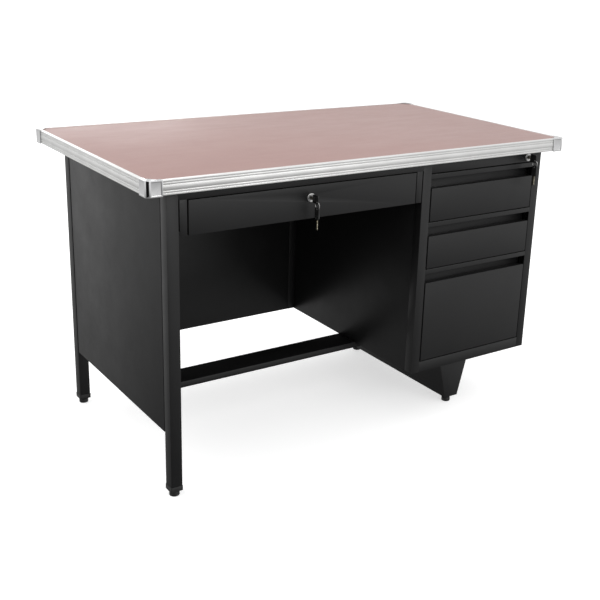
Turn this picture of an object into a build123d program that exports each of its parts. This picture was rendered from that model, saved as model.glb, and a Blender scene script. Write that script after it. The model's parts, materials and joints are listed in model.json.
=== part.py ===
from build123d import *
import os

# Teacher desk with one drawer pedestal, in millimetres.
# Origin: on the floor under the middle of the top. +Z up, -Y is the sitter's side,
# +X is the pedestal side.

# ---------------------------------------------------------------- driving dimensions
TOP_W = 1200.0
TOP_D = 675.0
TOP_H = 750.0

SIDE_OVERHANG = 54.0
FRONT_OVERHANG = 25.0
REAR_OVERHANG = 54.0

CAP_SKIN = 1.0          # the corner caps wrap the edge trim by this much
CAP_LEG = 36.5          # how far a cap reaches along each side
CAP_RADIUS = 8.0
CAP_BOTTOM = 714.5
CAP_FLAP_LEG = 26.0     # the flap over the corner ends in a diagonal this far in

TRIM_TOP = 749.2
TRIM_HEIGHT = 33.0
TRIM_WALL = 2.2
TRIM_LIP = 9.0
TRIM_LIP_PROUD = 1.2    # the trim's lip stands this far above the laminate
TRIM_SHELF = 8.0
TRIM_END_GAP = 12.0     # the trims stop this far short of the top's corners

BOARD_T = 25.0
LAMINATE_T = 1.0

SHEET = 1.0             # steel sheet
POST = 28.0
POST_WALL = 1.5
BASE_Z = 155.0          # underside of pedestal, side panel and modesty panel
GLIDE_RADIUS = 12.0
GLIDE_PAD_H = 11.0
GLIDE_STEM_R = 4.0
GLIDE_NECK_R = 8.0
GLIDE_SEAT_GAP = 0.3
STEM_TOP = 44.0
SOCKET_TOP = 48.0       # top of the plugs and nuts the stems run in
PLUG_Z = 14.0           # underside of a post's end plug
PLUG_TOP = 26.0
PLUG_FLANGE = 1.2       # the plug's collar stands proud of the post
NUT_HALF = 12.0
RUN_CLEAR = 0.05        # radial running clearance

PANEL_INSET = 0.5       # the side panel sits this far in from the posts' outer faces
PANEL_FOLD = 16.0
LEFT_RAIL_W = 24.0
LEFT_RAIL_H = 26.0
REAR_RAIL_H = 30.0
REAR_STILE_W = 20.0

PEDESTAL_W = 404.0
FRAME_DEPTH = 27.5      # depth of the pedestal's front frame members
CASING_FLANGE = 14.0
CASING_FLOOR_H = 12.0
UPRIGHT_Y = 150.0
UPRIGHT_D = 30.0
SCREW_LOW_Z = 319.0
SCREW_HIGH_Z = 600.0
STILE_W = 26.0
RIGHT_STILE_W = 24.5
STILE_RETURN = 3.0      # the stiles' inner edges fold back this far
LOCK_RAIL_Z = 688.5
BOTTOM_RAIL_TOP = 184.0
REVEAL = 3.0            # gap at each side of a drawer front

FINGER_H = 38.5         # finger rail zone above each pedestal drawer
FINGER_STRIP = 15.5
FINGER_GAP = 2.4        # between a drawer front and the strip below it
FINGER_HEM = 2.0        # the recess wall's lower edge turns forward
FINGER_BACK_DROP = 6.0  # the recess wall runs down behind the drawer front
SMALL_FRONT_H = 85.5

CENTRE_FRONT_H = 77.0
CENTRE_FRONT_Z = 618.0
CENTRE_STILE_W = 20.0
TOP_RAIL_H = 25.0

FRONT_T = 14.0          # depth of a folded drawer front
TRAY_D = 489.0
CENTRE_TRAY_D = 430.0
SIDE_GAP = 13.5         # between a stile and a tray, for the slides
FILE_TRAY_H = 178.0
SMALL_TRAY_H = 70.0
CENTRE_TRAY_H = 62.0
TRAY_LIFT = 4.0

RUNNER_H = 12.8
RUNNER_W = 10.0
CHANNEL_GAP = 0.4
CHANNEL_REACH = 12.0
RUNNER_RISE = 16.0      # a runner's underside above the drawer front's lower edge
SLIDE_END_Y = 170.0
FILE_SLIDE_Z0 = 252.0
FILE_SLIDE_Z1 = 292.0
HANGER_END_Y = 180.0

PLINTH_TOP_W = 110.0
PLINTH_BOTTOM_W = 44.0
PLINTH_BOTTOM_Z = 20.0
PLINTH_FRONT_Y = -253.0
PLINTH_LENGTH = 474.0
PLINTH_T = 1.5
GLIDE_INSET = 21.0      # a glide's distance from its end of the plinth

FOOTREST_D = 78.0
FOOTREST_H = 16.0
FOOTREST_Y = -58.0
FOOTREST_T = 1.5
FOOTREST_PLATE = 2.5

LOCK_BARREL_R = 9.0
LOCK_RING_R = 10.5
LOCK_PLUG_R = 6.0
CENTRE_LOCK_Z = 667.0
PEDESTAL_LOCK_X = 497.7
PEDESTAL_LOCK_Z = 701.0
LOCK_CAM_T = 2.0
LOCK_CAM_LENGTH = 36.0
LOCK_NOTCH_HALF = 38.0  # half the width of the tray's notch for the cam
KEY_GAP = 9.0           # from the lock's face to the key's bow
KEY_T = 3.0
KEY_SLOT_DEPTH = 12.0
KEY_HOLE_R = 2.6
BOW_H = 20.0
BOW_D = 22.0
BOW_HOLE_IN = 4.2       # the ring's hole, from the bow's free edge
BOW_HOLE_DROP = 5.0     # and below the lock's middle
SPARE_BOW_W = 16.0
SPARE_BOW_H = 28.0
SPARE_HOLE_IN = 4.5
SPARE_BLADE_L = 25.0
RING_R = 8.5
RING_WIRE_R = 0.9
LOCK_BAR_LIFT = 10.0
LOCK_BAR_Y = -279.0
LOCK_BAR_D = 15.0
LOCK_BAR_Z = 205.0
HOOK_Y = -268.0         # the bar's hooks, and the tabs on the trays behind them
HOOK_T = 3.0
HOOK_RISE = 42.0
TAB_Y = -262.0
TAB_RISE = 54.0
TAB_H = 10.0
TAB_W = 8.0

# ---------------------------------------------------------------- places worked out
HALF_W = TOP_W / 2
HALF_D = TOP_D / 2
FRONT_Y = -HALF_D + FRONT_OVERHANG
REAR_Y = HALF_D - REAR_OVERHANG
LEFT_X = -HALF_W + SIDE_OVERHANG
RIGHT_X = HALF_W - SIDE_OVERHANG
TRIM_BOTTOM = TRIM_TOP - TRIM_HEIGHT
LAMINATE_TOP = TRIM_TOP - TRIM_LIP_PROUD
BOARD_TOP = LAMINATE_TOP - LAMINATE_T
BOARD_Z = BOARD_TOP - BOARD_T           # the steelwork ends here
POST_IN_X = LEFT_X + POST
REAR_POST_Y = REAR_Y - POST
FRONT_POST_Y = FRONT_Y + POST
PED_X = RIGHT_X - PEDESTAL_W
FRAME_BACK_Y = FRONT_Y + FRAME_DEPTH
OPEN_X0 = PED_X + STILE_W
OPEN_X1 = RIGHT_X - RIGHT_STILE_W
PED_MID_X = (PED_X + RIGHT_X) / 2
PANEL_X = LEFT_X + PANEL_INSET
REAR_END_X = PED_X - REAR_STILE_W
MODESTY_Y = REAR_Y - 19.0
FACE_Y = FRONT_Y - 1.0                  # drawer fronts stand 1 mm proud
FRONT_BACK_Y = FACE_Y + FRONT_T
RAIL_Z = BOARD_Z - TOP_RAIL_H
CENTRE_X0 = POST_IN_X + CENTRE_STILE_W
CENTRE_X1 = PED_X - CENTRE_STILE_W
CENTRE_LOCK_X = (CENTRE_X0 + CENTRE_X1) / 2
FOOTREST_X0 = POST_IN_X + FOOTREST_PLATE
FOOTREST_X1 = PED_MID_X - PLINTH_TOP_W / 2 - 0.3
UPPER_TOP = LOCK_RAIL_Z - FINGER_H
MIDDLE_TOP = UPPER_TOP - SMALL_FRONT_H - FINGER_H
FILE_TOP = MIDDLE_TOP - SMALL_FRONT_H - FINGER_H
DRAWERS = {
    "upper": (UPPER_TOP - SMALL_FRONT_H, UPPER_TOP, SMALL_TRAY_H),
    "middle": (MIDDLE_TOP - SMALL_FRONT_H, MIDDLE_TOP, SMALL_TRAY_H),
    "file": (BOTTOM_RAIL_TOP + REVEAL, FILE_TOP, FILE_TRAY_H),
}
FINGER_TOPS = [LOCK_RAIL_Z, UPPER_TOP - SMALL_FRONT_H, MIDDLE_TOP - SMALL_FRONT_H]
PLINTH_GLIDE_Y0 = PLINTH_FRONT_Y + GLIDE_INSET
PLINTH_GLIDE_Y1 = PLINTH_FRONT_Y + PLINTH_LENGTH - GLIDE_INSET
GLIDES = {                              # x, y and the height each screws up against
    "glide_post_front": (LEFT_X + POST / 2, FRONT_Y + POST / 2, PLUG_Z),
    "glide_post_rear": (LEFT_X + POST / 2, REAR_Y - POST / 2, PLUG_Z),
    "glide_plinth_front": (PED_MID_X, PLINTH_GLIDE_Y0, PLINTH_BOTTOM_Z),
    "glide_plinth_rear": (PED_MID_X, PLINTH_GLIDE_Y1, PLINTH_BOTTOM_Z),
}

os.makedirs("parts", exist_ok=True)


# ---------------------------------------------------------------- helpers
def block(x0, x1, y0, y1, z0, z1):
    """A box from its lowest and highest corners."""
    middle = Pos((x0 + x1) / 2, (y0 + y1) / 2, (z0 + z1) / 2)
    return middle * Box(x1 - x0, y1 - y0, z1 - z0)


def pan(x0, x1, y0, y1, z0, z1, open_side, t=SHEET):
    """A folded sheet pan: a box that is hollow and open on one side."""
    lows = [x0 + t, y0 + t, z0 + t]
    highs = [x1 - t, y1 - t, z1 - t]
    axis = "xyz".index(open_side[1])
    if open_side[0] == "+":
        highs[axis] = (x1, y1, z1)[axis] + 1
    else:
        lows[axis] = (x0, y0, z0)[axis] - 1
    hollow = block(lows[0], highs[0], lows[1], highs[1], lows[2], highs[2])
    return block(x0, x1, y0, y1, z0, z1) - hollow


def tube_z(x, y, z0, z1, r):
    return Pos(x, y, (z0 + z1) / 2) * Cylinder(r, z1 - z0)


def rod_y(x, z, y0, y1, r):
    return Pos(x, (y0 + y1) / 2, z) * Rot(90, 0, 0) * Cylinder(r, y1 - y0)


def rod_x(y, z, x0, x1, r):
    return Pos((x0 + x1) / 2, y, z) * Rot(0, 90, 0) * Cylinder(r, x1 - x0)


def save(name, *solids):
    """Writes one node. Several separate solids become a group in the same file."""
    shape = solids[0] if len(solids) == 1 else Compound(children=list(solids))
    export_step(shape, f"parts/{name}.step")


# ---------------------------------------------------------------- top
def trim_profile():
    """Edge extrusion section: u runs inward from the outer face, v is the height."""
    chamfer_leg = 1.0
    groove_depth = 1.1
    groove_edges = [4.6, 5.8, 9.6, 10.8, 22.2, 23.4, 27.2, 28.4]
    shelf_z = BOARD_Z - 1.4
    points = [(chamfer_leg, TRIM_BOTTOM), (0.0, TRIM_BOTTOM + chamfer_leg)]
    for index, rise in enumerate(groove_edges):
        into_groove = index % 2 == 0
        before, after = (0.0, groove_depth) if into_groove else (groove_depth, 0.0)
        points.append((before, TRIM_BOTTOM + rise))
        points.append((after, TRIM_BOTTOM + rise))
    points += [
        (0.0, TRIM_TOP - chamfer_leg),
        (chamfer_leg, TRIM_TOP),
        (TRIM_LIP, TRIM_TOP),
        (TRIM_LIP, BOARD_TOP),
        (TRIM_WALL, BOARD_TOP),
        (TRIM_WALL, BOARD_Z),
        (TRIM_WALL + TRIM_SHELF, BOARD_Z),
        (TRIM_WALL + TRIM_SHELF, shelf_z),
        (TRIM_WALL, shelf_z),
        (TRIM_WALL, TRIM_BOTTOM),
    ]
    return points


def edge_trim(length, outer, angle):
    """A straight trim of this length whose outer face is `outer` from the centre."""
    points = [(0, -(outer - u), v) for u, v in trim_profile()]
    section = make_face(Polyline(*points, close=True))
    bar = extrude(section, length / 2, dir=(1, 0, 0), both=True)
    return Rot(0, 0, angle) * bar


def make_top():
    edge_x = HALF_W - CAP_SKIN - TRIM_WALL
    edge_y = HALF_D - CAP_SKIN - TRIM_WALL
    corner = 4.0
    board = block(-edge_x, edge_x, -edge_y, edge_y, BOARD_Z, BOARD_TOP)
    save("top_board", chamfer(board.edges().filter_by(Axis.Z), corner))
    field_x = HALF_W - CAP_SKIN - TRIM_LIP
    field_y = HALF_D - CAP_SKIN - TRIM_LIP
    laminate = block(-field_x, field_x, -field_y, field_y, BOARD_TOP, LAMINATE_TOP)
    save("top_laminate", chamfer(laminate.edges().filter_by(Axis.Z), CAP_FLAP_LEG - TRIM_LIP))
    long_trim = TOP_W - 2 * TRIM_END_GAP
    short_trim = TOP_D - 2 * TRIM_END_GAP
    save("edge_trim_front", edge_trim(long_trim, HALF_D - CAP_SKIN, 0))
    save("edge_trim_rear", edge_trim(long_trim, HALF_D - CAP_SKIN, 180))
    save("edge_trim_left", edge_trim(short_trim, HALF_W - CAP_SKIN, -90))
    save("edge_trim_right", edge_trim(short_trim, HALF_W - CAP_SKIN, 90))


def corner_cap():
    """The cap of the front left corner: two walls round the corner and a top flap."""
    x0 = -HALF_W
    y0 = -HALF_D
    x1 = x0 + CAP_LEG
    y1 = y0 + CAP_LEG
    outer = block(x0, x1, y0, y1, CAP_BOTTOM, TOP_H)
    corner_edge = outer.edges().filter_by(Axis.Z).sort_by(lambda e: e.center().X + e.center().Y)[0]
    outer = fillet(corner_edge, CAP_RADIUS)
    hollow = block(x0 + CAP_SKIN, x1 + 1, y0 + CAP_SKIN, y1 + 1, CAP_BOTTOM - 1, TRIM_TOP)
    inner_edge = hollow.edges().filter_by(Axis.Z).sort_by(lambda e: e.center().X + e.center().Y)[0]
    hollow = fillet(inner_edge, CAP_RADIUS - CAP_SKIN)
    shell = outer - hollow
    near_x = x0 + CAP_SKIN + TRIM_LIP
    near_y = y0 + CAP_SKIN + TRIM_LIP
    far_x = x0 + CAP_SKIN + CAP_FLAP_LEG
    far_y = y0 + CAP_SKIN + CAP_FLAP_LEG
    outline = Polyline(
        (far_x, near_y, 0),
        (x1 + 1, near_y, 0),
        (x1 + 1, y1 + 1, 0),
        (near_x, y1 + 1, 0),
        (near_x, far_y, 0),
        close=True,
    )
    flap_cut = Pos(0, 0, CAP_BOTTOM - 1) * extrude(make_face(outline), TOP_H, dir=(0, 0, 1))
    return shell - flap_cut


def make_caps():
    front_left = corner_cap()
    front_right = mirror(front_left, Plane.YZ)
    rear_left = mirror(front_left, Plane.XZ)
    rear_right = mirror(front_right, Plane.XZ)
    save("corner_caps", front_left, front_right, rear_left, rear_right)


# ---------------------------------------------------------------- left end frame
def square_post(x0, y0):
    outer = block(x0, x0 + POST, y0, y0 + POST, PLUG_TOP, BOARD_Z)
    inset = POST_WALL
    hollow = block(x0 + inset, x0 + POST - inset, y0 + inset, y0 + POST - inset, 0, BOARD_Z + 1)
    return outer - hollow


def post_plug(x0, y0):
    """The stepped end plug of a square post, bored for a glide's stem."""
    f = PLUG_FLANGE
    w = POST_WALL
    flange = block(x0 - f, x0 + POST + f, y0 - f, y0 + POST + f, PLUG_Z, PLUG_TOP)
    flange = fillet(flange.edges().filter_by(Axis.Z), 2.0)
    core = block(x0 + w, x0 + POST - w, y0 + w, y0 + POST - w, PLUG_TOP, SOCKET_TOP)
    bore_r = GLIDE_STEM_R + RUN_CLEAR
    bore = tube_z(x0 + POST / 2, y0 + POST / 2, PLUG_Z - 1, SOCKET_TOP + 1, bore_r)
    return flange + core - bore


def plinth_nut(x, y):
    """The nut block welded inside the plinth above each glide."""
    h = NUT_HALF
    nut = block(x - h, x + h, y - h, y + h, PLINTH_BOTTOM_Z + PLINTH_T, SOCKET_TOP)
    return nut - tube_z(x, y, PLINTH_BOTTOM_Z, SOCKET_TOP + 1, GLIDE_STEM_R + RUN_CLEAR)


def glide(x, y, seat_z):
    """A levelling glide: rounded pad, neck and stem. seat_z is what it screws up against."""
    pad = tube_z(x, y, 0, GLIDE_PAD_H, GLIDE_RADIUS)
    pad = fillet(pad.edges().filter_by(GeomType.CIRCLE), 1.6)
    neck_top = seat_z - GLIDE_SEAT_GAP
    neck = tube_z(x, y, GLIDE_PAD_H, neck_top, GLIDE_NECK_R)
    stem = tube_z(x, y, neck_top, STEM_TOP, GLIDE_STEM_R)
    return pad + neck + stem


def make_left_end():
    save("post_front", square_post(LEFT_X, FRONT_Y))
    save("post_rear", square_post(LEFT_X, REAR_POST_Y))
    fold_x = PANEL_X + PANEL_FOLD
    save("side_panel", pan(PANEL_X, fold_x, FRONT_POST_Y, REAR_POST_Y, BASE_Z, BOARD_Z, "+x"))
    plugs = [post_plug(LEFT_X, FRONT_Y), post_plug(LEFT_X, REAR_POST_Y)]
    nuts = [plinth_nut(x, y) for x, y, seat in GLIDES.values() if seat == PLINTH_BOTTOM_Z]
    save("glide_sockets", *plugs, *nuts)
    for name, (x, y, seat) in GLIDES.items():
        save(name, glide(x, y, seat))


# ---------------------------------------------------------------- rails and panels
def make_rails():
    t = SHEET
    face = block(POST_IN_X, PED_X, FRONT_Y, FRONT_Y + t, RAIL_Z, BOARD_Z)
    top_flange = block(POST_IN_X, PED_X, FRONT_Y + t, FRAME_BACK_Y, BOARD_Z - t, BOARD_Z)
    lip = block(POST_IN_X, PED_X, FRONT_Y + t, FRONT_Y + 8, RAIL_Z, RAIL_Z + t)
    save("front_top_rail", face + top_flange + lip)
    rear_z = BOARD_Z - REAR_RAIL_H
    save("rear_top_rail", pan(POST_IN_X, REAR_END_X, REAR_POST_Y, REAR_Y, rear_z, BOARD_Z, "+y"))
    rail_x = PANEL_X + PANEL_FOLD
    rail_y0 = FRONT_POST_Y + 2
    rail_y1 = REAR_POST_Y - 2
    rail_z = BOARD_Z - LEFT_RAIL_H
    rail = pan(rail_x, rail_x + LEFT_RAIL_W, rail_y0, rail_y1, rail_z, BOARD_Z, "-z")
    save("left_top_rail", rail)
    save("modesty_panel", pan(POST_IN_X, REAR_END_X, MODESTY_Y, REAR_Y - 1, BASE_Z, rear_z, "+y"))
    save("modesty_stile", pan(REAR_END_X, PED_X, MODESTY_Y - 1, REAR_Y, BASE_Z, BOARD_Z, "+y"))


def make_footrest():
    y1 = FOOTREST_Y + FOOTREST_D
    z0 = BASE_Z - FOOTREST_H
    bar = pan(FOOTREST_X0, FOOTREST_X1, FOOTREST_Y, y1, z0, BASE_Z, "-z", FOOTREST_T)
    save("footrest_bar", bar)
    tab_z = BASE_Z + 17.5
    plate = block(POST_IN_X, FOOTREST_X0, FOOTREST_Y, y1, z0, tab_z + FOOTREST_PLATE)
    tab_x0 = PANEL_X + SHEET
    tab = block(tab_x0, POST_IN_X, FOOTREST_Y, y1, tab_z, tab_z + FOOTREST_PLATE)
    save("footrest_bracket", plate + tab)


# ---------------------------------------------------------------- pedestal
def make_casing():
    """Sides, back and floor of the pedestal, and the uprights the slides hang on."""
    back_y = REAR_Y - SHEET
    y0 = FRAME_BACK_Y
    left_fold = PED_X + CASING_FLANGE
    right_fold = RIGHT_X - CASING_FLANGE
    floor_top = BASE_Z + CASING_FLOOR_H
    upright_y1 = UPRIGHT_Y + UPRIGHT_D
    save("pedestal_left_side", pan(PED_X, left_fold, y0, back_y, BASE_Z, BOARD_Z, "+x"))
    save("pedestal_right_side", pan(right_fold, RIGHT_X, y0, back_y, BASE_Z, BOARD_Z, "-x"))
    save("pedestal_back", block(PED_X, RIGHT_X, back_y, REAR_Y, BASE_Z, BOARD_Z))
    save("pedestal_bottom", pan(left_fold, right_fold, y0, back_y, BASE_Z, floor_top, "+z"))
    left = pan(left_fold, OPEN_X0, UPRIGHT_Y, upright_y1, floor_top, BOARD_Z, "+y")
    right = pan(OPEN_X1, right_fold, UPRIGHT_Y, upright_y1, floor_top, BOARD_Z, "+y")
    save("slide_uprights", left, right)


def make_front_frame():
    left = pan(PED_X, OPEN_X0, FRONT_Y, FRAME_BACK_Y, BASE_Z, BOARD_Z, "+y")
    right = pan(OPEN_X1, RIGHT_X, FRONT_Y, FRAME_BACK_Y, BASE_Z, BOARD_Z, "+y")
    return_y = FRONT_Y + STILE_RETURN
    behind = (return_y, FRAME_BACK_Y + 1, BASE_Z + SHEET, BOARD_Z - SHEET)
    save("stile_left", left - block(OPEN_X0 - SHEET - 1, OPEN_X0 + 1, *behind))
    save("stile_right", right - block(OPEN_X1 - 1, OPEN_X1 + SHEET + 1, *behind))
    save("bottom_rail", pan(OPEN_X0, OPEN_X1, FRONT_Y, FRAME_BACK_Y, BASE_Z, BOTTOM_RAIL_TOP, "+y"))
    rail = pan(OPEN_X0, OPEN_X1, FRONT_Y, FRAME_BACK_Y, LOCK_RAIL_Z, BOARD_Z, "+y")
    hole_r = LOCK_BARREL_R + RUN_CLEAR
    hole = rod_y(PEDESTAL_LOCK_X, PEDESTAL_LOCK_Z, FRONT_Y - 1, FRONT_Y + 5, hole_r)
    save("lock_rail", rail - hole)


def finger_rail(top):
    """A boxed strip flush with the frame, with a recess wall hanging behind it."""
    t = SHEET
    z1 = top - FINGER_GAP
    strip_z = top - FINGER_STRIP
    wall_y = FRAME_BACK_Y - 1.0
    tail_z = top - FINGER_H - FINGER_BACK_DROP
    shell = block(OPEN_X0, OPEN_X1, FRONT_Y, wall_y, strip_z, z1)
    shell = fillet(shell.edges().filter_by(Axis.X).group_by(Axis.Y)[0], 1.5)
    hollow = block(OPEN_X0 - 1, OPEN_X1 + 1, FRONT_Y + t, wall_y - t, strip_z + t, z1 - t)
    wall = block(OPEN_X0, OPEN_X1, wall_y - t, wall_y, tail_z, strip_z)
    hem = block(OPEN_X0, OPEN_X1, wall_y - t - FINGER_HEM, wall_y - t, tail_z, tail_z + t)
    return shell - hollow + wall + hem


def wedge(inset, y0, y1, z0, z1):
    """A length of the plinth's tapered section, drawn in by inset on both sides."""
    taper = (PLINTH_TOP_W - PLINTH_BOTTOM_W) / 2 / (BASE_Z - PLINTH_BOTTOM_Z)
    low = PLINTH_BOTTOM_W / 2 - inset + taper * (z0 - PLINTH_BOTTOM_Z)
    high = PLINTH_BOTTOM_W / 2 - inset + taper * (z1 - PLINTH_BOTTOM_Z)
    points = [
        (PED_MID_X - low, y0, z0),
        (PED_MID_X + low, y0, z0),
        (PED_MID_X + high, y0, z1),
        (PED_MID_X - high, y0, z1),
    ]
    return extrude(make_face(Polyline(*points, close=True)), y1 - y0, dir=(0, 1, 0))


def make_plinth():
    """A long tapered channel under the middle of the pedestal, closed at both ends."""
    t = PLINTH_T
    z0 = PLINTH_BOTTOM_Z
    y0 = PLINTH_FRONT_Y
    y1 = PLINTH_FRONT_Y + PLINTH_LENGTH
    body = wedge(0, y0, y1, z0, BASE_Z) - wedge(t, y0 + t, y1 - t, z0 + t, BASE_Z + 1)
    for glide_y in (PLINTH_GLIDE_Y0, PLINTH_GLIDE_Y1):
        body -= tube_z(PED_MID_X, glide_y, z0 - 1, z0 + t + 1, GLIDE_STEM_R + 0.5)
    save("plinth_leg", body)


# ---------------------------------------------------------------- slides
def c_channel(wall_x, reach, y0, y1, z0, z1, t=SHEET):
    """A C section along Y: its web stands at wall_x, its flanges reach along X."""
    thick = t if reach > 0 else -t
    web_x = sorted((wall_x, wall_x + thick))
    flange_x = sorted((wall_x, wall_x + reach))
    web = block(*web_x, y0, y1, z0, z1)
    low = block(*flange_x, y0, y1, z0, z0 + t)
    high = block(*flange_x, y0, y1, z1 - t, z1)
    return web + low + high


def runner_pairs(x_left, x_right, front_z):
    """The two fixed channels that a tray's side runners slide in."""
    z0 = front_z + RUNNER_RISE - CHANNEL_GAP - SHEET
    z1 = front_z + RUNNER_RISE + RUNNER_H + CHANNEL_GAP + SHEET
    return [
        c_channel(x_left, CHANNEL_REACH, FRAME_BACK_Y, SLIDE_END_Y, z0, z1),
        c_channel(x_right, -CHANNEL_REACH, FRAME_BACK_Y, SLIDE_END_Y, z0, z1),
    ]


def make_slides():
    """Fixed channels for four drawers; the file drawer's slides have two more members."""
    fixed = []
    for name in ("upper", "middle"):
        fixed += runner_pairs(OPEN_X0, OPEN_X1, DRAWERS[name][0])
    fixed += runner_pairs(CENTRE_X0, CENTRE_X1, CENTRE_FRONT_Z)
    y0, y1 = FRAME_BACK_Y, SLIDE_END_Y
    z0, z1 = FILE_SLIDE_Z0, FILE_SLIDE_Z1
    middle = []
    inner = []
    for wall, way in ((OPEN_X0, 1), (OPEN_X1, -1)):
        fixed.append(c_channel(wall, way * 9.0, y0, y1, z0, z1))
        web_x = wall + way * 2.0
        middle.append(c_channel(web_x, way * 8.5, y0 + 1, y1 - 2, z0 + 1.8, z1 - 1.8))
        tray_x = wall + way * SIDE_GAP
        inner.append(c_channel(tray_x, way * -8.9, y0 + 2, y1 - 4, z0 + 4, z1 - 4))
    save("slide_channels", *fixed)
    save("file_slide_middle", *middle)
    save("file_slide_inner", *inner)


# ---------------------------------------------------------------- drawers
def drawer_front(x0, x1, z0, z1):
    return pan(x0 + REVEAL, x1 - REVEAL, FACE_Y, FRONT_BACK_Y, z0, z1, "+y")


def tray(x0, x1, depth, z0, height):
    """A sheet tray open at the top."""
    return pan(x0, x1, FRONT_BACK_Y, FRONT_BACK_Y + depth, z0, z0 + height, "+z")


def tray_sheets(x0, x1, depth, z0, height):
    """The same tray as five sheets that are welded where they touch."""
    t = SHEET
    y0 = FRONT_BACK_Y
    y1 = y0 + depth
    z1 = z0 + height
    return [
        block(x0, x1, y0, y1, z0, z0 + t),
        block(x0, x0 + t, y0, y1, z0 + t, z1),
        block(x1 - t, x1, y0, y1, z0 + t, z1),
        block(x0 + t, x1 - t, y0, y0 + t, z0 + t, z1),
        block(x0 + t, x1 - t, y1 - t, y1, z0 + t, z1),
    ]


def tray_runners(x0, x1, depth, z0):
    """The two side runners of a tray whose sides are at x0 and x1."""
    y0 = FRONT_BACK_Y + 15
    y1 = FRONT_BACK_Y + depth - 10
    left = block(x0 - RUNNER_W, x0, y0, y1, z0, z0 + RUNNER_H)
    right = block(x1, x1 + RUNNER_W, y0, y1, z0, z0 + RUNNER_H)
    return [left, right]


def catch_tab(x, z0):
    """The tab on a tray's right side that the lock bar's hook holds."""
    low = z0 + TAB_RISE
    return block(x, x + TAB_W, TAB_Y, TAB_Y + HOOK_T, low, low + TAB_H)


def make_pedestal_drawers():
    x0 = OPEN_X0 + SIDE_GAP
    x1 = OPEN_X1 - SIDE_GAP
    for name, (z0, z1, height) in DRAWERS.items():
        save(f"{name}_drawer_front", drawer_front(OPEN_X0, OPEN_X1, z0, z1 - 0.5))
        solids = tray_sheets(x0, x1, TRAY_D, z0 + TRAY_LIFT, height) + [catch_tab(x1, z0)]
        if name != "file":
            solids += tray_runners(x0, x1, TRAY_D, z0 + RUNNER_RISE)
        save(f"{name}_drawer_tray", *solids)


def make_centre_drawer():
    z0 = CENTRE_FRONT_Z
    front = drawer_front(CENTRE_X0, CENTRE_X1, z0, z0 + CENTRE_FRONT_H)
    front -= rod_y(CENTRE_LOCK_X, CENTRE_LOCK_Z, FACE_Y - 1, FACE_Y + 5, LOCK_BARREL_R + RUN_CLEAR)
    save("centre_drawer_front", front)
    x0 = CENTRE_X0 + SIDE_GAP
    x1 = CENTRE_X1 - SIDE_GAP
    body = tray(x0, x1, CENTRE_TRAY_D, z0 + TRAY_LIFT, CENTRE_TRAY_H)
    notch_x0 = CENTRE_LOCK_X - LOCK_NOTCH_HALF
    notch_x1 = CENTRE_LOCK_X + LOCK_NOTCH_HALF
    notch_y = FRONT_BACK_Y
    notch_z = CENTRE_LOCK_Z - 14
    body -= block(notch_x0, notch_x1, notch_y - 1, notch_y + 3, notch_z, z0 + CENTRE_FRONT_H)
    save("centre_drawer_tray", body, *tray_runners(x0, x1, CENTRE_TRAY_D, z0 + RUNNER_RISE))
    t = SHEET
    for name, stile_x0, stile_x1, wall_x in (
        ("centre_hanger_left", POST_IN_X, CENTRE_X0, CENTRE_X0 - t),
        ("centre_hanger_right", CENTRE_X1, PED_X, CENTRE_X1),
    ):
        stile = block(stile_x0, stile_x1, FRONT_Y, FRONT_Y + t, z0, RAIL_Z)
        wall = block(wall_x, wall_x + t, FRONT_Y + t, HANGER_END_Y, z0, RAIL_Z)
        save(name, stile + wall)


# ---------------------------------------------------------------- locks and keys
def lock_barrel(x, z, face_y, rear_y):
    """The barrel with its face ring, bored for the plug."""
    barrel = rod_y(x, z, face_y, rear_y, LOCK_BARREL_R)
    ring = rod_y(x, z, face_y - 2.6, face_y, LOCK_RING_R)
    ring = fillet(ring.edges().filter_by(GeomType.CIRCLE).group_by(Axis.Y)[0], 1.2)
    return barrel + ring - rod_y(x, z, face_y - 5, rear_y + 1, LOCK_PLUG_R + RUN_CLEAR)


def lock_plug(x, z, face_y, rear_y):
    """The turning plug, with the slot that holds the key's blade."""
    plug = rod_y(x, z, face_y - 2.0, rear_y, LOCK_PLUG_R)
    slot_end = face_y + KEY_SLOT_DEPTH
    return plug - block(x - 1.05, x + 1.05, face_y - 3, slot_end, z - 3.6, z + 3.6)


def bow(x, hole_y, hole_z, y0, z0, depth, height):
    """A flat key bow in a plane square to X, with rounded corners and a ring hole."""
    plate = block(x - KEY_T / 2, x + KEY_T / 2, y0, y0 + depth, z0, z0 + height)
    plate = fillet(plate.edges().filter_by(Axis.X), 3.4)
    return plate - rod_x(hole_y, hole_z, x - KEY_T, x + KEY_T, KEY_HOLE_R)


def ring_pivot(z, face_y):
    """Y and Z of the point where the ring passes through the bow."""
    return face_y - KEY_GAP - BOW_D + BOW_HOLE_IN, z - BOW_HOLE_DROP


def lock_key(x, z, face_y):
    """The key in the plug: blade in the slot, bow in front of it."""
    bow_y1 = face_y - KEY_GAP
    hole_y, hole_z = ring_pivot(z, face_y)
    blade = block(x - 1, x + 1, bow_y1, face_y + KEY_SLOT_DEPTH - 1, z - 3.5, z + 3.5)
    return bow(x, hole_y, hole_z, bow_y1 - BOW_D, z - BOW_H / 2, BOW_D, BOW_H) + blade


def key_ring(x, z, face_y):
    hole_y, hole_z = ring_pivot(z, face_y)
    return Pos(x, hole_y, hole_z - RING_R) * Rot(90, 0, 0) * Torus(RING_R, RING_WIRE_R)


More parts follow.
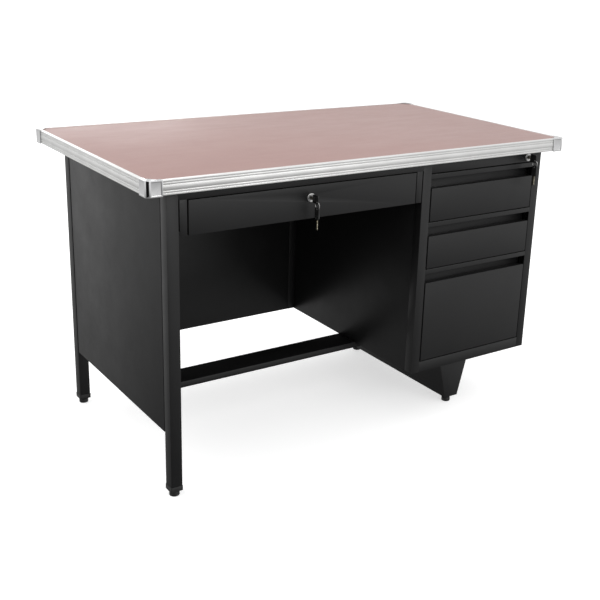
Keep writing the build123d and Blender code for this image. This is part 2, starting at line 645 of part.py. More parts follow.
def spare_key(x, z, face_y):
    """The second key, hanging from the bottom of the ring."""
    hole_y, pivot_z = ring_pivot(z, face_y)
    hole_z = pivot_z - 2 * RING_R
    bow_z = hole_z + SPARE_HOLE_IN - SPARE_BOW_H
    bow_y = hole_y - SPARE_BOW_W / 2
    plate = bow(x, hole_y, hole_z, bow_y, bow_z, SPARE_BOW_W, SPARE_BOW_H)
    blade = block(x - 1, x + 1, hole_y - 3.5, hole_y + 3.5, bow_z - SPARE_BLADE_L, bow_z)
    return plate + chamfer(blade.edges().filter_by(Axis.X).group_by(Axis.Z)[0], 2.0)


def save_lock(prefix, x, z, face_y, rear_y, cam):
    """One lock: barrel, plug with its cam, the key in it, the ring and the spare key."""
    save(f"{prefix}_lock_barrel", lock_barrel(x, z, face_y, rear_y))
    save(f"{prefix}_lock_plug", lock_plug(x, z, face_y, rear_y + CHANNEL_GAP) + cam)
    save(f"{prefix}_key", lock_key(x, z, face_y))
    save(f"{prefix}_key_ring", key_ring(x, z, face_y))
    save(f"{prefix}_spare_key", spare_key(x, z, face_y))


def make_locks():
    x, z = CENTRE_LOCK_X, CENTRE_LOCK_Z
    cam_y0 = FRONT_BACK_Y + CHANNEL_GAP
    cam_y1 = cam_y0 + LOCK_CAM_T
    cam = block(x - LOCK_CAM_LENGTH, x, cam_y0, cam_y1, z - 4, z + 4)
    cam += rod_y(x, z, cam_y0, cam_y1, 8.0)
    save_lock("centre", x, z, FACE_Y, FRONT_BACK_Y, cam)

    x, z = PEDESTAL_LOCK_X, PEDESTAL_LOCK_Z
    pin_offset = LOCK_BAR_LIFT / 2
    cam_y0 = FRAME_BACK_Y + CHANNEL_GAP
    cam_y1 = cam_y0 + LOCK_CAM_T
    cam = rod_y(x, z, cam_y0, cam_y1, 9.0)
    cam += rod_y(x + pin_offset, z - pin_offset, cam_y1, cam_y1 + 5.6, 1.5)
    save_lock("pedestal", x, z, FRONT_Y, FRAME_BACK_Y, cam)


def make_lock_bar():
    """The bar that rises with the lock's cam and puts a hook before each tray's tab."""
    bar_x0 = OPEN_X1 + 4
    bar_x1 = bar_x0 + 6
    y0 = LOCK_BAR_Y
    slot_z = PEDESTAL_LOCK_Z - LOCK_BAR_LIFT / 2
    z0, z1 = slot_z - 5, slot_z + 5
    solids = [block(bar_x0, bar_x1, y0, y0 + LOCK_BAR_D, LOCK_BAR_Z, z1)]
    arm = block(PEDESTAL_LOCK_X + 0.5, bar_x0, y0 - 1.6, y0 + 0.9, z0, z1)
    arm += block(bar_x0, bar_x1, y0 - 1.6, y0, z0, z1)
    slot_x0 = PEDESTAL_LOCK_X + 2.8
    solids.append(arm - block(slot_x0, slot_x0 + 6.6, y0 - 3, y0 + 3, slot_z - 2, slot_z + 2))
    hook_x0 = OPEN_X1 - SIDE_GAP + 4
    for front_z, front_top, height in DRAWERS.values():
        low = front_z + HOOK_RISE
        solids.append(block(hook_x0, bar_x0, HOOK_Y, HOOK_Y + HOOK_T, low, low + TAB_H))
    save("lock_bar", *solids)


def make_screws():
    """Dome-headed screws on the pedestal's outer side."""
    heads = []
    for y in (FRAME_BACK_Y + 8, REAR_Y - 12):
        for z in (SCREW_LOW_Z, SCREW_HIGH_Z):
            head = rod_x(y, z, RIGHT_X, RIGHT_X + 2.2, 4.0)
            heads.append(fillet(head.edges().filter_by(GeomType.CIRCLE).group_by(Axis.X)[-1], 1.8))
    save("side_screws", *heads)


make_top()
make_caps()
make_left_end()
make_rails()
make_footrest()
make_casing()
make_front_frame()
for number, rail_top in enumerate(FINGER_TOPS, start=1):
    save(f"finger_rail_{number}", finger_rail(rail_top))
make_plinth()
make_slides()
make_pedestal_drawers()
make_centre_drawer()
make_locks()
make_lock_bar()
make_screws()
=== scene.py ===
import json
import math

import bmesh
import bpy
from mathutils import Matrix, Vector


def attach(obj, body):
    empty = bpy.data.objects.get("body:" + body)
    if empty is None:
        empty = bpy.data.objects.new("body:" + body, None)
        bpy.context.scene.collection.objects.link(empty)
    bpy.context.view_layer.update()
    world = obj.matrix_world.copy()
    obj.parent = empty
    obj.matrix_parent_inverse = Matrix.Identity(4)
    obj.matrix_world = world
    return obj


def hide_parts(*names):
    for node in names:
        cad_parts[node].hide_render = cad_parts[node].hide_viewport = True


# Teacher desk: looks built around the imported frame. Metres, +Z up, -Y is the sitter's side.
MM = 0.001

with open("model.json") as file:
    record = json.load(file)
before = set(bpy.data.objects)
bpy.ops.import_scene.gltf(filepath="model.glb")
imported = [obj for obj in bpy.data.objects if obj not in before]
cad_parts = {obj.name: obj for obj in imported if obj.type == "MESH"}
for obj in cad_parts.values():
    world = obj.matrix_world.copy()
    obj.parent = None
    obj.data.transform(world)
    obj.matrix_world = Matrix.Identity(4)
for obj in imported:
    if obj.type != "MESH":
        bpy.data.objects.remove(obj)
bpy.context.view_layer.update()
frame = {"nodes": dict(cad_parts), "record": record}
NODES = frame["nodes"]
BODY_OF = {
    node: body
    for body, names in frame["record"]["behaviour"]["bodies"].items()
    for node in names
}
SLOT_OF = {entry["node"]: entry["material_slot"] for entry in frame["record"]["subparts"]}


# ---------------------------------------------------------------- materials
class Shade:
    """A node material with short helpers, so each material below reads as a list of steps."""

    def __init__(self, name):
        self.material = bpy.data.materials.new(name)
        self.material.use_nodes = True
        self.tree = self.material.node_tree
        self.bsdf = self.tree.nodes["Principled BSDF"]
        self.place = self.new("ShaderNodeTexCoord").outputs["Object"]

    def new(self, kind):
        return self.tree.nodes.new(kind)

    def link(self, source, target):
        self.tree.links.new(source, target)

    def put(self, name, value):
        """Sets a socket of the shader to one value, or links it."""
        socket = self.bsdf.inputs[name]
        if isinstance(value, bpy.types.NodeSocket):
            self.link(value, socket)
        else:
            socket.default_value = value

    def stretched(self, scale):
        """Object coordinates scaled apart along the three axes."""
        mapping = self.new("ShaderNodeMapping")
        mapping.inputs["Scale"].default_value = scale
        self.link(self.place, mapping.inputs["Vector"])
        return mapping.outputs["Vector"]

    def noise(self, scale, detail=3.0, rough=0.5, place=None):
        node = self.new("ShaderNodeTexNoise")
        node.inputs["Scale"].default_value = scale
        node.inputs["Detail"].default_value = detail
        node.inputs["Roughness"].default_value = rough
        self.link(place or self.place, node.inputs["Vector"])
        return node.outputs["Fac"]

    def cells(self, scale, place=None):
        node = self.new("ShaderNodeTexVoronoi")
        node.inputs["Scale"].default_value = scale
        self.link(place or self.place, node.inputs["Vector"])
        return node.outputs["Distance"]

    def spread(self, value, low, high, out_low=0.0, out_high=1.0):
        """Maps low..high to out_low..out_high, and holds it there."""
        node = self.new("ShaderNodeMapRange")
        node.inputs["From Min"].default_value = low
        node.inputs["From Max"].default_value = high
        node.inputs["To Min"].default_value = out_low
        node.inputs["To Max"].default_value = out_high
        self.link(value, node.inputs["Value"])
        return node.outputs["Result"]

    def math(self, operation, a, b=0.0):
        node = self.new("ShaderNodeMath")
        node.operation = operation
        for socket, value in zip(node.inputs, (a, b)):
            if isinstance(value, bpy.types.NodeSocket):
                self.link(value, socket)
            else:
                socket.default_value = value
        return node.outputs["Value"]

    def mix(self, factor, a, b):
        """A colour between a and b; either may be a colour or a socket."""
        node = self.new("ShaderNodeMix")
        node.data_type = "RGBA"
        self.link(factor, node.inputs["Factor"])
        for key, value in (("A", a), ("B", b)):
            socket = next(s for s in node.inputs if s.name == key and s.type == "RGBA")
            if isinstance(value, bpy.types.NodeSocket):
                self.link(value, socket)
            else:
                socket.default_value = (*value, 1.0)
        return next(s for s in node.outputs if s.type == "RGBA")

    def attribute(self, name):
        node = self.new("ShaderNodeAttribute")
        node.attribute_name = name
        return node.outputs["Fac"]

    def height(self):
        node = self.new("ShaderNodeSeparateXYZ")
        self.link(self.place, node.inputs["Vector"])
        return node.outputs["Z"]

    def bump(self, *layers):
        """Layers of (height, distance in metres), one on another."""
        normal = None
        for height, distance in layers:
            node = self.new("ShaderNodeBump")
            node.inputs["Strength"].default_value = 1.0
            node.inputs["Distance"].default_value = distance
            self.link(height, node.inputs["Height"])
            if normal is not None:
                self.link(normal, node.inputs["Normal"])
            normal = node.outputs["Normal"]
        self.link(normal, self.bsdf.inputs["Normal"])


def laminate_material():
    """Matte rose laminate: a soft mottle, a fine stipple and faint wiping marks."""
    s = Shade("rose_laminate")
    mottle = s.spread(s.noise(9.0, 4.0, 0.6), 0.35, 0.65)
    fleck = s.spread(s.noise(900.0, 2.0, 0.7), 0.30, 0.70)
    broad = s.mix(mottle, (0.425, 0.268, 0.247), (0.455, 0.292, 0.270))
    light = s.mix(fleck, (0.385, 0.240, 0.220), (0.495, 0.325, 0.302))
    node = s.spread(s.noise(60.0, 2.0), 0.4, 0.6, 0.30, 0.55)
    s.put("Base Color", s.mix(node, broad, light))
    wipes = s.noise(14.0, 5.0, 0.7, s.stretched((0.6, 2.2, 1.0)))
    s.put("Roughness", s.spread(wipes, 0.3, 0.7, 0.40, 0.52))
    s.put("Specular IOR Level", 0.5)
    s.bump((s.cells(1400.0), 0.00003), (s.noise(420.0, 3.0), 0.00005))
    return s.material


def board_material():
    """Raw chipboard: flat chips in two browns."""
    s = Shade("chipboard")
    chips = s.cells(260.0, s.stretched((0.6, 0.6, 1.6)))
    tone = s.spread(chips, 0.15, 0.75)
    grain = s.spread(s.noise(900.0, 3.0), 0.35, 0.65, 0.0, 0.5)
    base = s.mix(tone, (0.46, 0.33, 0.20), (0.62, 0.48, 0.31))
    s.put("Base Color", s.mix(grain, base, (0.33, 0.22, 0.12)))
    s.put("Roughness", s.spread(tone, 0.0, 1.0, 0.75, 0.9))
    s.bump((chips, 0.0004), (s.noise(1200.0, 2.0), 0.0001))
    return s.material


def steel_paint(name, dark, light, rough_low, rough_high):
    """Satin black powder coat: orange peel, slow changes of sheen, dusty feet, and every rounded edge
    lightened, partly as rubbed wear and partly as a painted edge highlight.
    """
    s = Shade(name)
    slow = s.spread(s.noise(5.0, 4.0, 0.6), 0.35, 0.65)
    speck = s.spread(s.noise(1500.0, 2.0, 0.6), 0.35, 0.65, 0.0, 0.6)
    coat = s.mix(speck, s.mix(slow, dark, light), tuple(1.35 * v for v in light))
    scuffs = s.spread(s.noise(70.0, 6.0, 0.75, s.stretched((1.0, 1.0, 0.35))), 0.60, 0.74, 0.0, 0.5)
    low_down = s.spread(s.height(), 0.30, 0.02, 0.0, 1.0)
    worn = s.math("MULTIPLY", scuffs, s.spread(low_down, 0.0, 1.0, 0.06, 0.45))
    dusty = s.mix(worn, coat, (0.07, 0.068, 0.065))
    # Painted highlight: every bevel face marked "edge" is lightened, partly as rubbed wear and partly
    # as a highlight along each rounded edge.
    edge_wear_and_highlight = s.math("MULTIPLY", s.attribute("edge"), s.spread(s.noise(45.0, 5.0, 0.7), 0.42, 0.66))
    s.put("Base Color", s.mix(s.math("MULTIPLY", edge_wear_and_highlight, 0.35), dusty, (0.06, 0.06, 0.063)))
    s.put("Roughness", s.spread(s.noise(11.0, 5.0, 0.65), 0.3, 0.7, rough_low, rough_high))
    s.put("Specular IOR Level", 0.5)
    s.bump((s.noise(650.0, 2.0, 0.5), 0.00006), (s.noise(2200.0, 1.0), 0.00002))
    return s.material


def trim_material(along):
    """Satin extruded aluminium, with die lines along the extrusion. along is 0 for X, 1 for Y."""
    s = Shade("aluminium_trim_" + "xy"[along])
    scale = [1.0, 1.0, 1.0]
    scale[along] = 0.006
    lines = s.noise(2600.0, 3.0, 0.6, s.stretched(tuple(scale)))
    cloud = s.spread(s.noise(22.0, 4.0), 0.35, 0.65)
    base = s.mix(cloud, (0.90, 0.90, 0.89), (0.95, 0.95, 0.94))
    s.put("Base Color", base)
    s.put("Metallic", 1.0)
    s.put("Roughness", s.spread(lines, 0.3, 0.7, 0.36, 0.50))
    s.bump((lines, 0.00003))
    return s.material


def chrome_material():
    """Bright plating with faint haze and hairline scratches."""
    s = Shade("chrome_plate")
    haze = s.noise(60.0, 5.0, 0.7)
    s.put("Base Color", s.mix(s.spread(haze, 0.35, 0.65), (0.78, 0.78, 0.79), (0.86, 0.86, 0.86)))
    s.put("Metallic", 1.0)
    hair = s.noise(900.0, 2.0, 0.6, s.stretched((1.0, 1.0, 0.08)))
    s.put("Roughness", s.spread(s.math("ADD", haze, hair), 0.7, 1.3, 0.04, 0.12))
    s.bump((s.noise(160.0, 2.0), 0.00003))
    return s.material


def zinc_material():
    """Zinc-plated steel: pale spangle and rolling lines."""
    s = Shade("zinc_steel")
    spangle = s.spread(s.cells(240.0), 0.1, 0.6)
    s.put("Base Color", s.mix(spangle, (0.46, 0.47, 0.47), (0.60, 0.60, 0.58)))
    s.put("Metallic", 1.0)
    lines = s.noise(1500.0, 3.0, 0.6, s.stretched((1.0, 0.01, 1.0)))
    s.put("Roughness", s.spread(lines, 0.3, 0.7, 0.30, 0.50))
    s.bump((lines, 0.00003))
    return s.material


def plastic_material(name, tone, rough):
    """Moulded black plastic with a fine spark-eroded grain."""
    s = Shade(name)
    grain = s.noise(1800.0, 3.0, 0.6)
    pale = tuple(1.6 * v for v in tone)
    s.put("Base Color", s.mix(s.spread(s.noise(120.0, 4.0), 0.35, 0.7), tone, pale))
    s.put("Roughness", s.spread(grain, 0.3, 0.7, rough - 0.06, rough + 0.10))
    s.bump((grain, 0.00005))
    return s.material


def metal_material(name, tone, rough, across=(1.0, 1.0, 0.05)):
    """Small machined or drawn metal parts, with fine lines one way."""
    s = Shade(name)
    lines = s.noise(3000.0, 3.0, 0.6, s.stretched(across))
    darker = tuple(0.78 * v for v in tone)
    s.put("Base Color", s.mix(s.spread(s.noise(300.0, 4.0), 0.35, 0.7), darker, tone))
    s.put("Metallic", 1.0)
    s.put("Roughness", s.spread(lines, 0.3, 0.7, rough - 0.05, rough + 0.12))
    s.bump((lines, 0.00002))
    return s.material


INSIDE = steel_paint("black_inner_coat", (0.008, 0.008, 0.0084), (0.012, 0.012, 0.0124), 0.50, 0.62)
MATERIALS = {
    "laminate": laminate_material(),
    "board": board_material(),
    "black_steel": steel_paint(
        "black_powder_coat", (0.0065, 0.0065, 0.0068), (0.0095, 0.0095, 0.0098), 0.36, 0.46
    ),
    "chrome": chrome_material(),
    "zinc_steel": zinc_material(),
    "glide_black": plastic_material("glide_plastic", (0.016, 0.016, 0.016), 0.42),
    "lock_plug": metal_material("lock_plug_metal", (0.30, 0.30, 0.31), 0.30),
    "key": metal_material("key_metal", (0.62, 0.58, 0.46), 0.24),
    "key_ring": metal_material("ring_wire", (0.86, 0.86, 0.85), 0.50),
}
TRIM_X = trim_material(0)
TRIM_Y = trim_material(1)
LOCK_RING = metal_material("lock_ring_metal", (0.84, 0.84, 0.83), 0.36)
BOW_PLASTIC = plastic_material("key_bow_plastic", (0.012, 0.012, 0.012), 0.30)


# ---------------------------------------------------------------- pieces
def finish_piece(obj, material, body, slot, replaced=()):
    """Gives a new piece its material and its body, and hides the nodes it stands for. Its slot
    argument is not used.
    """
    obj.data.materials.clear()
    obj.data.materials.append(material)
    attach(obj, body)
    if replaced:
        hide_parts(*replaced)
    return obj


def mesh_object(name, bm, smooth_angle=40.0):
    """Turns a bmesh into an object, shaded smooth up to an angle."""
    mesh = bpy.data.meshes.new(name)
    bm.normal_update()
    for face in bm.faces:
        face.smooth = True
    limit = math.radians(smooth_angle)
    for edge in bm.edges:
        if len(edge.link_faces) == 2:
            edge.smooth = edge.calc_face_angle(0.0) < limit
    bm.to_mesh(mesh)
    bm.free()
    obj = bpy.data.objects.new(name, mesh)
    bpy.context.scene.collection.objects.link(obj)
    return obj


def bevel_edges(bm, width, segments=2, angle=30.0):
    """Rounds every edge sharper than angle, and marks the new faces for edge wear and a painted edge
    highlight.
    """
    edge_wear_and_highlight_layer = bm.faces.layers.float.get("edge") or bm.faces.layers.float.new("edge")
    limit = math.radians(angle)
    sharp = [e for e in bm.edges if len(e.link_faces) == 2 and e.calc_face_angle(0.0) > limit]
    made = bmesh.ops.bevel(
        bm,
        geom=sharp,
        offset=width,
        offset_type="OFFSET",
        segments=segments,
        profile=0.5,
        affect="EDGES",
        clamp_overlap=True,
    )
    for face in made["faces"]:
        face[edge_wear_and_highlight_layer] = 1.0


WELD_DISTANCE = 1e-6
FLAT_ANGLE = math.radians(0.5)      # faces closer to one plane than this are made one


def node_bmesh(node):
    """A CAD node's mesh, welded, with its flat faces whole again."""
    bm = bmesh.new()
    bm.from_mesh(NODES[node].data)
    bmesh.ops.remove_doubles(bm, verts=bm.verts, dist=WELD_DISTANCE)
    bmesh.ops.dissolve_limit(bm, angle_limit=FLAT_ANGLE, verts=bm.verts, edges=bm.edges)
    return bm


def draw_back(bm, axis, high, distance, reach=0.5):
    """Moves one end of a piece back by this much, which leaves a shadow gap beside its neighbour."""
    ends = [v.co[axis] for v in bm.verts]
    end = max(ends) if high else min(ends)
    way = -1.0 if high else 1.0
    for vert in bm.verts:
        if abs(vert.co[axis] - end) < reach * MM:
            vert.co[axis] += way * distance * MM


def softened(node, width, material=None, segments=2, angle=30.0, gaps=()):
    """A copy of a CAD node with rounded edges, which stands for it. gaps has (axis, high end?, mm)."""
    bm = node_bmesh(node)
    for axis, high, distance in gaps:
        draw_back(bm, axis, high, distance)
    bevel_edges(bm, width * MM, segments, angle)
    obj = mesh_object(node + "_piece", bm)
    slot = SLOT_OF[node]
    return finish_piece(obj, material or MATERIALS[slot], BODY_OF[node], slot, (node,))


CAP_BORDER = 3.0 * MM           # round each pressed panel
CAP_PRESS_SLOPE = 0.9 * MM
CAP_PRESS_DEPTH = 0.7 * MM
CAP_LEAST_AREA = 600.0 * MM * MM
SQUARE_ON = 0.999               # least share of a face's normal along X or Y
UPRIGHT = 0.01                  # most share of it along Z


def press_panels(bm):
    """Presses a rectangular panel into each large upright outer face of the caps."""
    panels = []
    for face in bm.faces:
        normal = face.normal
        middle = face.calc_center_median()
        square_on = max(abs(normal.x), abs(normal.y)) > SQUARE_ON and abs(normal.z) < UPRIGHT
        outward = normal.x * middle.x + normal.y * middle.y > 0.0
        if square_on and outward and face.calc_area() > CAP_LEAST_AREA:
            panels.append(face)
    for face in panels:
        for thickness, depth in ((CAP_BORDER, 0.0), (CAP_PRESS_SLOPE, -CAP_PRESS_DEPTH)):
            bmesh.ops.inset_individual(
                bm, faces=[face], thickness=thickness, depth=depth, use_even_offset=True
            )


# ---------------------------------------------------------------- steelwork
X_AXIS, Y_AXIS, Z_AXIS = 0, 1, 2
EDGE_RADII = {                      # mm
    0.45: (
        "post_front",
        "post_rear",
        "footrest_bar",
        "stile_left",
        "stile_right",
        "bottom_rail",
        "lock_rail",
        "plinth_leg",
        "modesty_stile",
        "front_top_rail",
        "rear_top_rail",
        "modesty_panel",
        "pedestal_left_side",
        "pedestal_right_side",
    ),
    0.3: (
        "left_top_rail",
        "footrest_bracket",
        "pedestal_back",
        "pedestal_bottom",
        "slide_uprights",
        "finger_rail_1",
        "finger_rail_2",
        "finger_rail_3",
    ),
    0.25: ("slide_channels", "file_slide_middle", "file_slide_inner", "lock_bar"),
    0.4: (
        "glide_sockets",
        "glide_post_front",
        "glide_post_rear",
        "glide_plinth_front",
        "glide_plinth_rear",
    ),
    0.15: ("side_screws", "centre_lock_plug", "pedestal_lock_plug"),
}
for radius, nodes in EDGE_RADII.items():
    for node in nodes:
        softened(node, radius)
softened("side_panel", 0.45, gaps=((Y_AXIS, False, 4.0), (Y_AXIS, True, 4.0)))
softened("centre_hanger_left", 0.3, gaps=((X_AXIS, False, 2.4),))
softened("centre_hanger_right", 0.3, gaps=((X_AXIS, True, 3.0),))
for drawer in ("centre", "upper", "middle", "file"):
    softened(drawer + "_drawer_front", 0.45, segments=3)
    softened(drawer + "_drawer_tray", 0.3, INSIDE)
for side in ("centre", "pedestal"):
    softened(side + "_lock_barrel", 0.15, LOCK_RING)

# ---------------------------------------------------------------- top
softened("top_board", 0.4)
softened("top_laminate", 0.1)
for node in ("edge_trim_front", "edge_trim_rear"):
    softened(node, 0.22, TRIM_X)
for node in ("edge_trim_left", "edge_trim_right"):
    softened(node, 0.22, TRIM_Y)
caps = node_bmesh("corner_caps")
press_panels(caps)
bevel_edges(caps, 0.25 * MM)
cap_piece = mesh_object("corner_caps_piece", caps)
finish_piece(cap_piece, MATERIALS["chrome"], "frame", "chrome", ("corner_caps",))

# ---------------------------------------------------------------- keys
BOW_DEPTH = 22.0 * MM               # along the key in the lock
SPARE_BOW_HEIGHT = 28.0 * MM
BLADE_INSET = 2.0 * MM              # how far a blade runs into its bow
BLADE_HALF_T = 1.0 * MM
BLADE_HALF_W = 3.5 * MM
CUT_HALF = 0.05                     # half a cut's width, as a share of the blade's length
CUTS = ((0.20, 0.22), (0.34, 0.36), (0.48, 0.16), (0.62, 0.30), (0.76, 0.20))
TIP = ((0.94, 0.0), (1.0, 0.28), (1.0, 0.72), (0.94, 1.0), (0.0, 1.0))


def node_box(node):
    """Low and high corners of a CAD node."""
    corners = [NODES[node].matrix_world @ v.co for v in NODES[node].data.vertices]
    return [Vector(map(end, zip(*corners))) for end in (min, max)]


def key_blade(name, low, high, along):
    """A flat blade square to X, with a pointed tip and a row of cuts down one edge."""
    across = Y_AXIS + Z_AXIS - along
    length = high[along] - low[along]
    width = high[across] - low[across]
    outline = [(0.0, 0.0)]
    for part, depth in CUTS:
        outline += [(part - CUT_HALF, 0.0), (part, depth), (part + CUT_HALF, 0.0)]
    outline += TIP
    bm = bmesh.new()
    faces = []
    for x in (low.x, high.x):
        face = []
        for part, depth in outline:
            point = [x, 0.0, 0.0]
            point[along] = low[along] + part * length
            if along == Z_AXIS:
                point[along] = high[along] - part * length
            point[across] = low[across] + depth * width
            face.append(bm.verts.new(point))
        faces.append(face)
    left, right_side = faces
    bm.faces.new(left)
    bm.faces.new(list(reversed(right_side)))
    for i in range(len(outline)):
        j = (i + 1) % len(outline)
        bm.faces.new((left[j], left[i], right_side[i], right_side[j]))
    bmesh.ops.recalc_face_normals(bm, faces=bm.faces)
    bevel_edges(bm, 0.12 * MM, 1)
    return mesh_object(name, bm)


def key_bow(name, node, split, along, keep_high):
    """The bow's half of a key node: everything on one side of the plane at split."""
    bm = node_bmesh(node)
    normal = [0.0, 0.0, 0.0]
    normal[along] = 1.0
    point = [0.0, 0.0, 0.0]
    point[along] = split
    cut = bmesh.ops.bisect_plane(
        bm,
        geom=list(bm.verts) + list(bm.edges) + list(bm.faces),
        plane_co=point,
        plane_no=normal,
        clear_inner=keep_high,
        clear_outer=not keep_high,
    )
    rim = [item for item in cut["geom_cut"] if isinstance(item, bmesh.types.BMEdge)]
    bmesh.ops.holes_fill(bm, edges=rim)
    bevel_edges(bm, 0.5 * MM, 3)
    return mesh_object(name, bm)


def split_ring(name, low, high, wire=0.9 * MM, turns=2.0, steps=120, sides=10):
    """A split ring: flattened spring wire wound twice round.

    It is square to X, but the CAD's ring is square to Y: a known fault.
    """
    centre = (low + high) / 2
    radius = (high.z - low.z) / 2 - wire
    pitch = 0.95 * wire
    flattening = 0.6
    along = Vector((1.0, 0.0, 0.0))
    bm = bmesh.new()
    rings = []
    for i in range(steps + 1):
        part = i / steps
        turn = 2.0 * math.pi * turns * part
        out = Vector((0.0, math.cos(turn), math.sin(turn)))
        middle = centre + pitch * (part - 0.5) * along + radius * out
        ring = []
        for k in range(sides):
            angle = 2.0 * math.pi * k / sides
            offset = math.cos(angle) * wire * out + math.sin(angle) * wire * flattening * along
            ring.append(bm.verts.new(middle + offset))
        rings.append(ring)
    for ring, following in zip(rings, rings[1:]):
        for k in range(sides):
            j = (k + 1) % sides
            bm.faces.new((ring[k], ring[j], following[j], following[k]))
    bm.faces.new(rings[0])
    bm.faces.new(list(reversed(rings[-1])))
    bmesh.ops.recalc_face_normals(bm, faces=bm.faces)
    return mesh_object(name, bm)


for side in ("centre", "pedestal"):
    key = side + "_key"
    low, high = node_box(key)
    middle = (low + high) / 2
    split = low.y + BOW_DEPTH
    bow = key_bow(key + "_bow", key, split, Y_AXIS, keep_high=False)
    finish_piece(bow, BOW_PLASTIC, side + "_lock", "key", (key,))
    blade = key_blade(
        key + "_blade",
        Vector((middle.x - BLADE_HALF_T, split - BLADE_INSET, middle.z - BLADE_HALF_W)),
        Vector((middle.x + BLADE_HALF_T, high.y, middle.z + BLADE_HALF_W)),
        Y_AXIS,
    )
    finish_piece(blade, MATERIALS["key"], side + "_lock", "key")

    spare = side + "_spare"
    low, high = node_box(spare + "_key")
    middle = (low + high) / 2
    split = high.z - SPARE_BOW_HEIGHT
    bow = key_bow(spare + "_bow", spare + "_key", split, Z_AXIS, keep_high=True)
    finish_piece(bow, BOW_PLASTIC, spare, "key", (spare + "_key",))
    blade = key_blade(
        spare + "_blade",
        Vector((middle.x - BLADE_HALF_T, middle.y - BLADE_HALF_W, low.z)),
        Vector((middle.x + BLADE_HALF_T, middle.y + BLADE_HALF_W, split + BLADE_INSET)),
        Z_AXIS,
    )
    finish_piece(blade, MATERIALS["key"], spare, "key")

    node = side + "_key_ring"
    ring = split_ring(node + "_piece", *node_box(node))
    finish_piece(ring, MATERIALS["key_ring"], side + "_ring", "key_ring", (node,))

# ---------------------------------------------------------------- floor, light, camera
FLOOR_SIZE = 60.0
FLOOR_DROP = 0.0002                 # keeps the feet from sharing the floor's plane
FLOOR_GLOW = 0.55
FLOOR_TONES = (0.93, 0.93, 0.93), (0.95, 0.95, 0.95)
floor_mesh = bmesh.new()
bmesh.ops.create_grid(floor_mesh, x_segments=2, y_segments=2, size=FLOOR_SIZE / 2)
floor = mesh_object("floor", floor_mesh)
floor.location.z = -FLOOR_DROP
floor_shade = Shade("pale_floor")
floor_tone = floor_shade.spread(floor_shade.noise(1.5, 2.0), 0.3, 0.7)
floor_shade.put("Base Color", floor_shade.mix(floor_tone, *FLOOR_TONES))
floor_shade.put("Roughness", 0.9)
floor_shade.put("Specular IOR Level", 0.1)
floor_shade.put("Emission Color", (1.0, 1.0, 1.0, 1.0))
floor_shade.put("Emission Strength", FLOOR_GLOW)
floor.data.materials.append(floor_shade.material)
floor.visible_diffuse = False
floor.visible_glossy = False


def area_light(name, size, power, place, target):
    """A soft rectangular light turned to the target. The camera doesn't see it."""
    data = bpy.data.lights.new(name, "AREA")
    data.shape = "RECTANGLE"
    data.size, data.size_y = size
    data.energy = power
    obj = bpy.data.objects.new(name, data)
    obj.location = place
    obj.visible_camera = False
    obj.rotation_euler = (Vector(target) - Vector(place)).to_track_quat("-Z", "Y").to_euler()
    bpy.context.scene.collection.objects.link(obj)


MIDDLE = (0.0, 0.0, 0.4)
area_light("left_soft", (2.6, 2.4), 20.0, (-4.0, 0.6, 2.4), MIDDLE)
area_light("front_soft", (3.0, 2.0), 44.0, (0.6, -4.4, 2.4), MIDDLE)
area_light("top_soft", (3.4, 3.4), 22.0, (-0.4, 1.0, 4.0), MIDDLE)
area_light("back_soft", (3.6, 2.2), 30.0, (0.2, 5.2, 1.7), MIDDLE)

# A black flag behind the camera, which only reflections see, gives the plating something to mirror.
FLAG_RADIUS = 4.4
FLAG_FROM, FLAG_TO = math.radians(182.0), math.radians(262.0)
FLAG_LOW, FLAG_HIGH = -1.7, 1.5
FLAG_STEPS = 12
flag_mesh = bmesh.new()
columns = []
for i in range(FLAG_STEPS + 1):
    turn = FLAG_FROM + (FLAG_TO - FLAG_FROM) * i / FLAG_STEPS
    x, y = FLAG_RADIUS * math.cos(turn), FLAG_RADIUS * math.sin(turn)
    columns.append([flag_mesh.verts.new((x, y, z)) for z in (FLAG_LOW, FLAG_HIGH)])
for column, following in zip(columns, columns[1:]):
    flag_mesh.faces.new((column[0], following[0], following[1], column[1]))
flag = mesh_object("flag", flag_mesh)
flag_shade = Shade("black_flag")
flag_shade.put("Base Color", (0.01, 0.01, 0.01, 1.0))
flag_shade.put("Roughness", 1.0)
flag_shade.put("Specular IOR Level", 0.0)
flag.data.materials.append(flag_shade.material)
flag.visible_camera = False
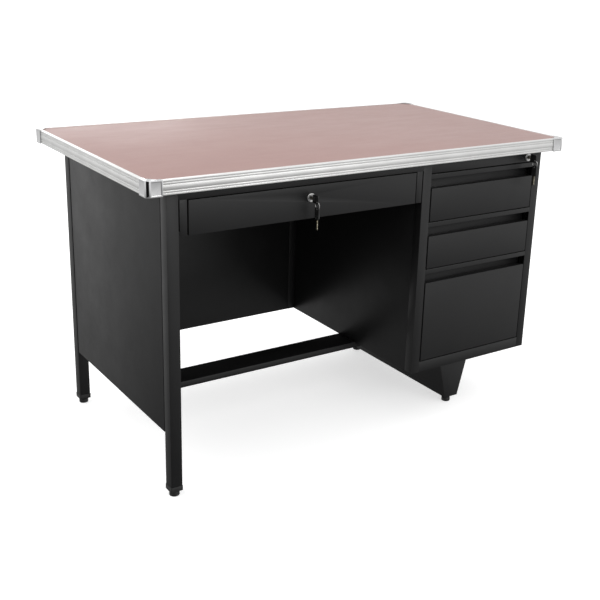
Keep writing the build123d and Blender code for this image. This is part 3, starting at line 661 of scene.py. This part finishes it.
flag.visible_diffuse = False
flag.visible_shadow = False
flag.visible_transmission = False

# A white room that darkens towards the ground: the floor is a bright sheet that throws nothing back.
SKY_LOW, SKY_HIGH = -0.75, 0.05
GROUND_STRENGTH, SKY_STRENGTH = 0.10, 0.80
world = bpy.data.worlds.new("studio")
world.use_nodes = True
sky = world.node_tree
direction = sky.nodes.new("ShaderNodeSeparateXYZ")
sky.links.new(sky.nodes.new("ShaderNodeTexCoord").outputs["Generated"], direction.inputs["Vector"])
fade = sky.nodes.new("ShaderNodeMapRange")
fade.interpolation_type = "SMOOTHSTEP"
for socket, value in (
    ("From Min", SKY_LOW),
    ("From Max", SKY_HIGH),
    ("To Min", GROUND_STRENGTH),
    ("To Max", SKY_STRENGTH),
):
    fade.inputs[socket].default_value = value
sky.links.new(direction.outputs["Z"], fade.inputs["Value"])
sky.links.new(fade.outputs["Result"], sky.nodes["Background"].inputs["Strength"])
sky.nodes["Background"].inputs["Color"].default_value = (1.0, 1.0, 1.0, 1.0)
bpy.context.scene.world = world
bpy.context.scene.view_settings.view_transform = "Standard"

LENS = 58.7928                      # mm
SENSOR = 36.0                       # mm
CLIP = 0.05, 60.0
CAMERA_SHIFT = (-0.0572, -0.0472)
CAMERA_PLACE = (-1.38747, -2.11998, 1.19912)
CAMERA_RIGHT = Vector((0.82366, -0.56602, 0.03471))
CAMERA_UP = Vector((0.14856, 0.27445, 0.95006))
CAMERA_FORWARD = Vector((0.54728, 0.77737, -0.31015))
camera_data = bpy.data.cameras.new("camera")
camera_data.sensor_width = SENSOR
camera_data.lens = LENS
camera_data.shift_x, camera_data.shift_y = CAMERA_SHIFT
camera_data.clip_start, camera_data.clip_end = CLIP
camera = bpy.data.objects.new("camera", camera_data)
axes = Matrix((CAMERA_RIGHT, CAMERA_UP, -CAMERA_FORWARD)).transposed().to_4x4()
camera.matrix_world = Matrix.Translation(CAMERA_PLACE) @ axes
bpy.context.scene.collection.objects.link(camera)
bpy.context.scene.camera = camera
